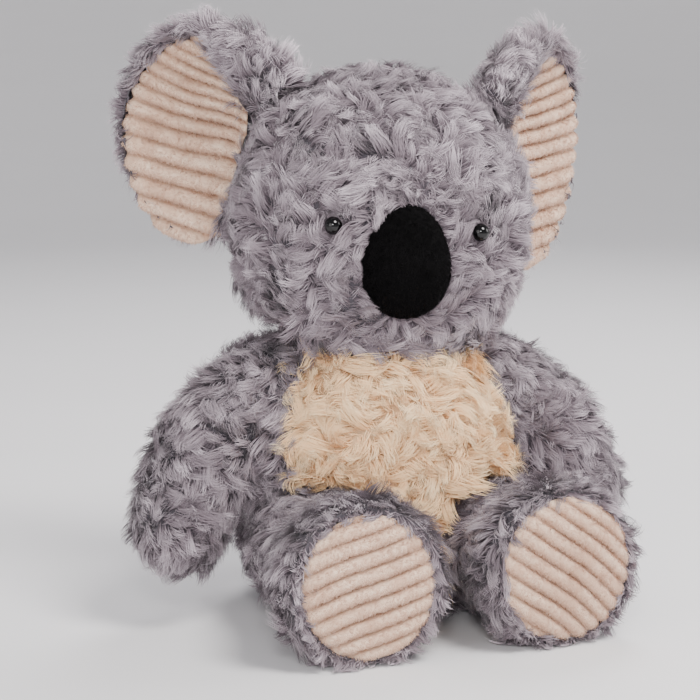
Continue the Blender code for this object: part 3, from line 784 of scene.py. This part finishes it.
def ribbedPad(name, body, node, place, outline, height, ribLine, pad):
    # a padded shell with soft ribs that swell over its rim, turned down into the seam
    middle, right, up, face = place
    rows, turns = pad["rows"], pad["turns"]
    edge = np.array([outline(t) for t in np.arange(turns) * math.tau / turns])
    shares = np.linspace(0.0, 1.0, rows + 1)[1:] ** ribbed["spacing"]
    share = np.repeat(shares, turns)
    a = (shares[:, None] * edge[None, :, 0]).ravel()
    b = (shares[:, None] * edge[None, :, 1]).ravel()
    wide, high = ribbed["driftScale"]
    pinched, pinchSeed = ribbed["pinchScale"], pad["seed"] + ribbed["pinchSeed"]
    drift = np.array([noise.noise(Vector((x * wide, y * high, pad["seed"])))
                      for x, y in zip(a, b)])
    pinch = np.array([noise.noise(Vector((x * pinched, y * pinched, pinchSeed)))
                      for x, y in zip(a, b)])
    line = (ribLine(a, b) + pad["wander"] * drift) / pad["pitch"] + pad["phase"]
    ridge = np.abs(np.sin(math.pi * line)) ** pad["roundness"]
    inside = 1 - share ** ribbed["flatPower"]
    tuck = pad["tuck"] * share ** ribbed["tuckPower"]
    full = ribbed["rimRib"] + (1 - ribbed["rimRib"]) * inside
    rise = height(a, b) + pad["rib"] * (ridge - ribbed["mean"]) * full \
        + pad["crown"] * (1 - share ** ribbed["middlePower"]) + pad["dent"] * pinch * inside
    swell = 1 + pad["scallop"] * (ridge - ribbed["mean"]) * share ** ribbed["scallopPower"]
    less = ribbed["backShare"]
    front = middle + np.outer(a * swell, right) + np.outer(b * swell, up) \
        + np.outer(rise - tuck, face)
    back = middle + np.outer(a * less, right) + np.outer(b * less, up) \
        + np.outer(height(a, b) - pad["thick"] - tuck, face)
    hubs = [front[:turns].mean(axis=0), back[:turns].mean(axis=0)]
    points = np.concatenate([hubs, front, back])
    first, second = 2, 2 + rows * turns
    ring = np.arange(turns)
    following = (ring + 1) % turns

    def bands(start, flip):
        quads = []
        for row in range(rows - 1):
            low, high = start + row * turns, start + (row + 1) * turns
            order = (low + ring, high + ring, high + following, low + following)
            quads.append(np.stack(order[::-1] if flip else order, axis=1))
        return np.concatenate(quads)

    frontQuads = bands(first, False)
    last, lastBack = first + (rows - 1) * turns, second + (rows - 1) * turns
    rim = np.stack((last + ring, lastBack + ring, lastBack + following, last + following), axis=1)
    quads = np.concatenate([frontQuads, bands(second, True), rim])
    caps = [(0, first + k, first + (k + 1) % turns) for k in range(turns)]
    caps += [(1, second + (k + 1) % turns, second + k) for k in range(turns)]
    piece = newPiece(name, points, quads.tolist() + caps, body)
    # the UV holds how high each place stands on its rib, which the velour turns into painted shade
    # in its valleys
    ribHeights = np.concatenate([[ribbed["middleHeight"], ribbed["backHeight"]], ridge,
                                 np.full(rows * turns, ribbed["backHeight"])])
    layer = piece.data.uv_layers.new(name="OFBake")
    corners = np.empty(len(piece.data.loops), dtype=np.int32)
    piece.data.loops.foreach_get("vertex_index", corners)
    uv = np.stack([np.full(len(corners), 0.5), ribHeights[corners]], axis=1)
    layer.data.foreach_set("uv", uv.ravel())
    finishPiece(piece, ribbedVelour, node)
    # painted shade and light: pile strands darker in the rib valleys, lighter on the crowns
    paintedShadeAndLight = np.zeros(len(points))
    paintedShadeAndLight[first:second] = ribbed["paintedShadeAndLight"] * (ridge - ribbed["unshadedRibHeight"])
    return {"points": points, "quads": frontQuads, "paintedShadeAndLight": paintedShadeAndLight,
            "normals": facingNormals(points, frontQuads, face)}


shortPile = {
    "length": 0.0019, "width": 0.00034, "tuft": 0.0022, "density": 2.6e6,
    "rise": 1.1, "droop": 0.5, "gather": 0.12, "swirl": 1.2, "swirlScale": 60,
    "ruffle": 0.5, "curl": 0.5, "stray": 0.2, "steps": 2,
}


def addShortPile(name, form, body, piece, share=1):
    rootSeed, seed = piece["pileSeeds"]
    pile = dict(shortPile, density=shortPile["density"] * share, seed=seed,
                flow=flowing(-np.array(piece["up"])))
    coverWithPile(name, form, body, creamPile, pile, rootSeed)


soles = {
    "left": {"middle": (0.07045, -0.15538, 0.04857), "right": (-0.90062, -0.10184, 0.4225),
             "up": (0.41674, 0.07348, 0.90605), "face": (0.12332, -0.99208, 0.02374),
             "halfWidth": 0.0445, "slant": -0.23, "seed": 3.0, "phase": 0.3, "pileSeeds": (60, 62)},
    "right": {"middle": (-0.05895, -0.15619, 0.04857), "right": (-0.97807, 0.0136, -0.20785),
              "up": (-0.20743, 0.02716, 0.97787), "face": (-0.01894, -0.99954, 0.02374),
              "halfWidth": 0.0412, "slant": 0.09, "seed": 7.0, "phase": 0.65,
              "pileSeeds": (61, 63)},
}
solePad = {"bowWidth": 0.0400, "halfHeight": 0.0440, "rows": 64, "turns": 220, "pitch": 0.0096,
           "rib": 0.0054, "crown": 0.0034, "wander": 0.0022, "dent": 0.0007, "bow": 0.002,
           "tuck": 0.0042, "thick": 0.008, "scallop": 0.02, "roundness": 0.72, "sunk": 0.0022}


def addSole(side):
    sole = soles[side]
    form = ribbedPad("solePad_" + side, "leg_" + side, "sole_" + side, placeOf(sole),
                     lambda t: (sole["halfWidth"] * math.cos(t),
                                solePad["halfHeight"] * math.sin(t)),
                     lambda a, b: np.full(len(a), -solePad["sunk"]),
                     lambda a, b: (b + sole["slant"] * a
                                   + solePad["bow"] * (a / solePad["bowWidth"]) ** 2),
                     dict(solePad, seed=sole["seed"], phase=sole["phase"]))
    addShortPile("solePile_" + side, form, "leg_" + side, sole)


for side in sides:
    addSole(side)
print("soles made")

ears = {
    "left": {"middle": (0.12441, 0.03137, 0.29098), "out": (0.75268, 0.65817, -0.0169),
             "up": (0.04369, -0.02432, 0.99875), "face": (0.65693, -0.75248, -0.04706),
             "root": (0.09431, 0.00504, 0.29165), "halfHeight": 0.0825, "inset": 0.0022,
             "topInset": 0.0120, "insetFrom": 0.25, "fan": 0.26, "seed": 13.0, "phase": 0.2,
             "pileSeeds": (70, 72)},
    "right": {"middle": (-0.10238, 0.05448, 0.30691), "out": (-0.60016, 0.79606, 0.07812),
              "up": (0.09093, -0.02914, 0.99543), "face": (-0.7947, -0.60452, 0.0549),
              "root": (-0.07838, 0.02264, 0.30378), "halfHeight": 0.075, "inset": 0.0028,
              "topInset": 0.0105, "insetFrom": -0.8, "fan": 0.52, "seed": 17.0, "phase": 0.6,
              "pileSeeds": (71, 73)},
}
earShape = {
    "halfWidth": 0.066, "rim": 0.0112, "bowl": 0.0195, "narrow": 0.08, "corner": 0.42,
    "fold": 0.036, "roll": 0.0075, "rollFrom": 0.78, "offHead": -0.0010, "inward": 0.040,
    "seam": 0.0050, "seamFrom": 0.022, "seamWidth": 0.016, "slope": 0.12, "fanFrom": -0.15,
    # the last three on the next line: painted light at the ear's edge, how much paler the fur grows
    # there and from where
    "fanReach": 1.1, "fanWidth": 0.9, "rimPaintedLight": 0.45, "rimLightFrom": 0.72, "rimLightReach": 0.25,
    "look": 1.2,
}
liningPad = {"rows": 76, "turns": 260, "pitch": 0.0122, "rib": 0.0068, "crown": 0.0,
             "wander": 0.0040, "dent": 0.0024, "tuck": 0.0015, "thick": 0.0045,
             "scallop": 0.045, "roundness": 0.70, "pile": 0.8}


def earOutline(ear, t):
    # the lining's edge: near the ear's edge outside, far from it in the folded corner,
    # and against the head inside
    across, high = math.cos(t), math.sin(t)
    corner = 2 * max(0, high) * max(0, -across)
    wide = earShape["halfWidth"] * (1 - earShape["narrow"] * max(0, -high)
                                    + earShape["corner"] * corner)
    top = max(0, high - ear["insetFrom"]) / (1 - ear["insetFrom"])
    inset = ear["inset"] + ear["topInset"] * top + earShape["fold"] * corner
    a, b = (wide - inset) * across, (ear["halfHeight"] - inset) * high
    middle, ray = Vector(ear["middle"]), Vector(ear["out"]) * a + Vector(ear["up"]) * b
    hit = trees["head"].ray_cast(middle, ray.normalized(), ray.length * earShape["look"])
    limit = (hit[3] - earShape["offHead"]) / ray.length if hit[0] else 1
    share = min(1, limit, earShape["inward"] / max(1e-6, -a))
    return a * share, b * share


def earShare(ear, a, b):
    # one on the ear's edge, nothing at its middle
    return np.hypot(a / earShape["halfWidth"], b / ear["halfHeight"])


def bowlHeight(ear, a, b):
    # a bowl whose lip rolls outward near the ear's edge, and turns up against the head
    far = earShare(ear, a, b)
    bowl = earShape["bowl"] * (1 - far ** 2).clip(0, 1)
    lip = ((far - earShape["rollFrom"]) / (1 - earShape["rollFrom"])).clip(0, 1)
    seam = ((-a - earShape["seamFrom"]) / earShape["seamWidth"]).clip(0, 1)
    return earShape["rim"] - bowl - earShape["roll"] * lip ** 2 + earShape["seam"] * seam ** 2


def earLine(ear, a, b):
    # level ribs below that fan out from the folded corner above
    up = ((b / ear["halfHeight"] - earShape["fanFrom"]) / earShape["fanReach"]).clip(0, 1)
    slope = earShape["slope"] + ear["fan"] * up * up * (3 - 2 * up)
    return b + slope * (earShape["halfWidth"] * earShape["fanWidth"] - a)


def addLining(side):
    ear = ears[side]
    form = ribbedPad("liningPad_" + side, "ear_" + side, "ear_lining_" + side,
                     placeOf(ear, "out"), lambda t: earOutline(ear, t),
                     lambda a, b: bowlHeight(ear, a, b), lambda a, b: earLine(ear, a, b),
                     dict(liningPad, seed=ear["seed"], phase=ear["phase"]))
    addShortPile("liningPile_" + side, form, "ear_" + side, ear, liningPad["pile"])


for side in sides:
    addLining(side)
print("linings made")


earFur = dict(headFur, length=0.0158, tuft=0.0060, density=1.3e6, rise=1.0, swirl=1.3)
armFur = dict(bodyFur, swirl=2.2)
legFur = dict(bodyFur, length=0.0165, swirl=2.2, flow=flowing((0.0, -0.35, -1.0)))
limbs = {
    "left": {"armFlow": (0.35, -0.2, -1.0), "earSeed": 102, "armSeed": 112, "legSeed": 122},
    "right": {"armFlow": (-0.35, -0.2, -1.0), "earSeed": 103, "armSeed": 113, "legSeed": 123},
}
earCoat = {"facing": -0.5, "rootOut": 0.02, "drift": (0, 0, -0.25), "around": 180}
footCoat = {  # where the fur stops at the sole and floor, and how it shortens toward the sole
    "depth": 0.0125, "edge": 0.98, "bareBelow": 0.004, "shortest": 0.62, "from": 0.004,
    "reach": 0.012,
}


def insideOf(outline, a, b):
    # whether places lie inside an outline given as points round the middle
    angles = np.arctan2(outline[:, 1], outline[:, 0])
    order = np.argsort(angles)
    reach = np.hypot(outline[:, 0], outline[:, 1])
    return np.hypot(a, b) < np.interp(np.arctan2(b, a), angles[order], reach[order],
                                      period=math.tau)


def dressEar(side):
    ear, name = ears[side], "ear_" + side
    middle, out, up, face = placeOf(ear, "out")
    angles = np.arange(earCoat["around"]) * math.tau / earCoat["around"]
    outline = np.array([earOutline(ear, t) for t in angles])

    def onBack(points, normals):
        away = points - middle
        inFront = normals @ face > earCoat["facing"]
        return ~(insideOf(outline, away @ out, away @ up) & inFront)

    def fromRoot(points):
        away = points - np.array(ear["root"]) + out * earCoat["rootOut"]
        return unit(away) + np.array(earCoat["drift"])

    # painted light: paler fur round the ear's edge, where the rim catches the light
    away = forms[name]["points"] - middle
    rim = (earShare(ear, away @ out, away @ up) - earShape["rimLightFrom"]) / earShape["rimLightReach"]
    backings[name]["paintedShadeAndLight"] = earShape["rimPaintedLight"] * rim.clip(0, 1)
    backing = partOf(backings[name], chosenQuads(name, onBack))
    addBacking("earBacking_" + side, name, backing, "ear_back_" + side)
    dress("earFur_" + side, name, openQuads(name, onBack), greyFur, "grey_fur",
          dict(earFur, seed=limbs[side]["earSeed"]), flow=fromRoot)


def dressArm(side):
    name = "arm_" + side
    addBacking("armBacking_" + side, name, backings[name], "arm_skin_" + side)
    dress("armFur_" + side, name, openQuads(name), greyFur, "grey_fur",
          dict(armFur, seed=limbs[side]["armSeed"]), flow=flowing(limbs[side]["armFlow"]))


def dressLeg(side):
    sole, name = soles[side], "leg_" + side
    middle, right, up, face = placeOf(sole)

    def besideSole(points, normals):
        away = points - middle
        far = np.hypot(away @ right / sole["halfWidth"], away @ up / solePad["halfHeight"])
        return ~((away @ face > -footCoat["depth"]) & (far < footCoat["edge"]))

    def offSole(points, normals):
        return besideSole(points, normals) & (points[:, 2] > footCoat["bareBelow"])

    def soleTrim(points):
        back = ((points - middle) @ -face - footCoat["from"]) / footCoat["reach"]
        return footCoat["shortest"] + (1 - footCoat["shortest"]) * back.clip(0, 1)

    backing = partOf(backings[name], chosenQuads(name, besideSole))
    addBacking("legBacking_" + side, name, backing, "leg_skin_" + side)
    dress("legFur_" + side, name, openQuads(name, offSole), greyFur, "grey_fur",
          dict(legFur, seed=limbs[side]["legSeed"]), trim=soleTrim)


for side in sides:
    dressEar(side)
    dressArm(side)
    dressLeg(side)
print("ears, arms and legs dressed")


filling = {"voxel": 0.0055, "rounds": 2, "lumpScale": 60, "lump": 0.0016, "inside": 0.0012,
           "fill": 0.7}
for name in ("body", "head", "arm_left", "arm_right", "leg_left", "leg_right"):
    part, mark, ending = name.partition("_")
    node = part + "_filling" + mark + ending
    form = stuffedForm([node], filling["voxel"], filling["rounds"])
    lump = noiseAt(form["points"], filling["lumpScale"], (5, 1, 3)) * filling["lump"]
    points = form["points"] + form["normals"] * (lump - filling["inside"])[:, None]
    piece = newPiece("fibre_" + name, points, form["quads"], name)
    finishPiece(piece, fibreFinish, node)
print("fillings made")


paper = {"colour": (0.84, 0.83, 0.84), "grain": 35, "grainAt": (0.3, 0.7), "shade": 0.985,
         "rough": 0.85, "rings": (0.6, 1.4), "flat": 2.2, "curve": 1.1, "curveFrom": 0.12,
         "steps": 14, "around": 96, "below": 0.0005}


def studioMaterial(name, colour):
    material, tree, shader = newMaterial(name)
    grain = addNode(tree, "ShaderNodeTexNoise", Scale=paper["grain"], Detail=3)
    shade = tuple(c * paper["shade"] for c in colour)
    tone = mottled(tree, grain, paper["grainAt"], shade, colour)
    tree.links.new(tone, shader.inputs["Base Color"])
    setSockets(shader, Roughness=paper["rough"])
    return material


def paleFloor():
    # a wide round sheet under the toy whose edge curves up all round
    flat, curve, around = paper["flat"], paper["curve"], paper["around"]
    profile = [(far, 0.0) for far in (*paper["rings"], flat)]
    profile += [(flat + curve * math.sin(t), curve - curve * math.cos(t))
                for t in np.linspace(paper["curveFrom"], math.pi / 2, paper["steps"])]
    points = [(far * math.cos(t), far * math.sin(t), high - paper["below"])
              for far, high in profile for t in np.arange(around) * math.tau / around]
    faces = [face[::-1] for face in ringFaces(len(profile), around)]
    faces.append(tuple(range(around)))
    mesh = bpy.data.meshes.new("paleFloor")
    mesh.from_pydata(points, [], faces)
    mesh.shade_smooth()
    sheet = newObject("paleFloor", mesh)
    mesh.materials.append(studioMaterial("palePaper", paper["colour"]))


paleFloor()

lamps = {
    "key": {"place": (0.50, -1.00, 1.80), "size": 0.9, "power": 48, "colour": (1.0, 0.97, 0.95)},
    "fill": {"place": (-1.5, -1.1, 0.75), "size": 1.4, "power": 13, "colour": (1.0, 0.97, 0.95)},
    "side": {"place": (1.45, -0.35, 0.75), "size": 0.8, "power": 8, "colour": (1.0, 0.98, 0.96)},
    "back": {"place": (0.7, 1.0, 1.6), "size": 0.9, "power": 24, "colour": (1.0, 0.98, 1.0)},
    "spark": {"place": (-0.55, -1.45, 0.85), "size": 0.34, "power": 10, "colour": (1.0, 1.0, 1.0)},
}
studio = {"aim": (0, 0, 0.16), "air": (0.90, 0.90, 0.95), "strength": 0.40}
for name, lamp in lamps.items():
    light = bpy.data.lights.new(name, "AREA")
    light.shape = "DISK"
    light.size = lamp["size"]
    light.energy = lamp["power"]
    light.color = lamp["colour"]
    holder = newObject(name, light)
    holder.location = lamp["place"]
    aim = Vector(studio["aim"]) - holder.location
    holder.rotation_euler = aim.to_track_quat("-Z", "Y").to_euler()
world = bpy.data.worlds.new("studioAir")
bpy.context.scene.world = world
world.use_nodes = True
air = world.node_tree.nodes["Background"]
air.inputs["Color"].default_value = (*studio["air"], 1)
air.inputs["Strength"].default_value = studio["strength"]

shot = {"azimuth": -20.0, "elevation": 9.0, "distance": 1.45, "lens": 113.86, "sensor": 36,
        "target": (0.0, 0.0, 0.165), "shift": -25 / 700}
cameraData = bpy.data.cameras.new("camera")
cameraData.lens = shot["lens"]
cameraData.sensor_width = shot["sensor"]
cameraData.shift_x = shot["shift"]
camera = newObject("camera", cameraData)
azimuth, elevation = math.radians(shot["azimuth"]), math.radians(shot["elevation"])
away = Vector((math.sin(azimuth) * math.cos(elevation), -math.cos(azimuth) * math.cos(elevation),
               math.sin(elevation)))
camera.location = Vector(shot["target"]) + away * shot["distance"]
camera.rotation_euler = (-away).to_track_quat("-Z", "Y").to_euler()
bpy.context.scene.camera = camera
print("studio set")
